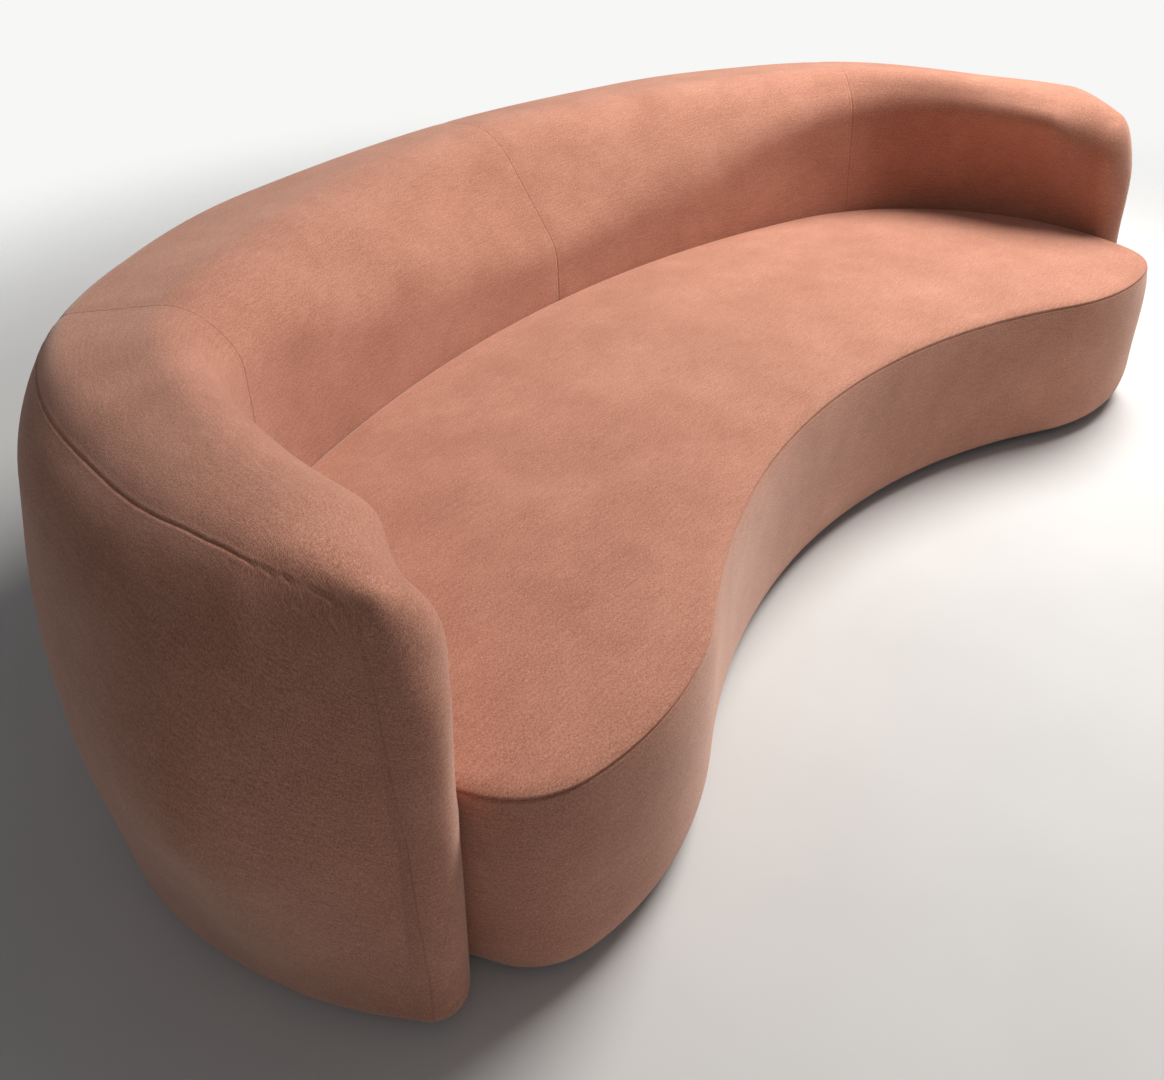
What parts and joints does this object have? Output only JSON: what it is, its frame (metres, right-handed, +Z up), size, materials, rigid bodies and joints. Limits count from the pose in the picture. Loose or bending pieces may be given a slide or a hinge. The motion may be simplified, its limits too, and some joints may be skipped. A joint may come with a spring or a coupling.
{
  "type": "curved sofa",
  "caption": "Long kidney-shaped upholstered sofa with a thick rounded back that wraps round into both arm ends; tight seat, low hidden glides.",
  "frame": {"origin": "centre of the bounding box at floor level", "axes": "+X along the length, the front faces -Y, +Z up"},
  "size_m": [2.7745, 1.4304, 0.7271],
  "materials": {
    "terracotta_fabric": "fine woven wool and linen cloth, taut, slight nap",
    "lining_cloth": "black non-woven lining cloth",
    "seat_foam": "firm upholstery foam",
    "soft_foam": "soft upholstery foam",
    "plywood": "bare birch plywood",
    "bendy_plywood": "bare bending plywood",
    "webbing": "woven elastic upholstery webbing",
    "hessian": "open hessian",
    "glide_plastic": "black moulded plastic",
    "zinc_screws": "zinc plated steel",
    "strap_steel": "black painted mild steel"
  },
  "bodies": {
    "root": {"arm_cover_left": "terracotta_fabric", "arm_cover_right": "terracotta_fabric", "arm_end_foam_left": "soft_foam", "arm_end_foam_right": "soft_foam", "back_base_plate": "plywood", "back_cover_left": "terracotta_fabric", "back_cover_right": "terracotta_fabric", "back_dust_cover": "lining_cloth", "back_foam_left": "soft_foam", "back_foam_right": "soft_foam", "back_former_1": "plywood", "back_former_2": "plywood", "back_former_3": "plywood", "back_former_4": "plywood", "back_former_5": "plywood", "back_former_6": "plywood", "back_former_7": "plywood", "back_former_8": "plywood", "back_former_9": "plywood", "back_glide_screws": "zinc_screws", "back_glides": "glide_plastic", "back_inner_board": "bendy_plywood", "back_outer_board": "bendy_plywood", "back_rib_1": "plywood", "back_rib_2": "plywood", "back_rib_3": "plywood", "back_rib_4": "plywood", "back_rib_5": "plywood", "back_rib_6": "plywood", "back_rib_7": "plywood", "back_rib_8": "plywood", "back_rib_9": "plywood", "back_top_rail": "plywood", "joining_straps": "strap_steel", "outside_cover": "terracotta_fabric", "seat_base_board": "plywood", "seat_border_foam_front": "seat_foam", "seat_border_foam_rear": "seat_foam", "seat_border_front": "terracotta_fabric", "seat_border_rear": "lining_cloth", "seat_dust_cover": "lining_cloth", "seat_foam_core": "seat_foam", "seat_foam_topper": "soft_foam", "seat_front_skin": "bendy_plywood", "seat_glide_screws": "zinc_screws", "seat_glides": "glide_plastic", "seat_hessian": "hessian", "seat_rear_skin": "bendy_plywood", "seat_rib_1": "plywood", "seat_rib_2": "plywood", "seat_rib_3": "plywood", "seat_rib_4": "plywood", "seat_rib_5": "plywood", "seat_top_cover": "terracotta_fabric", "seat_top_ring": "plywood", "seat_webs_across": "webbing", "seat_webs_along": "webbing", "strap_screws": "zinc_screws"}
  },
  "joints": []
}
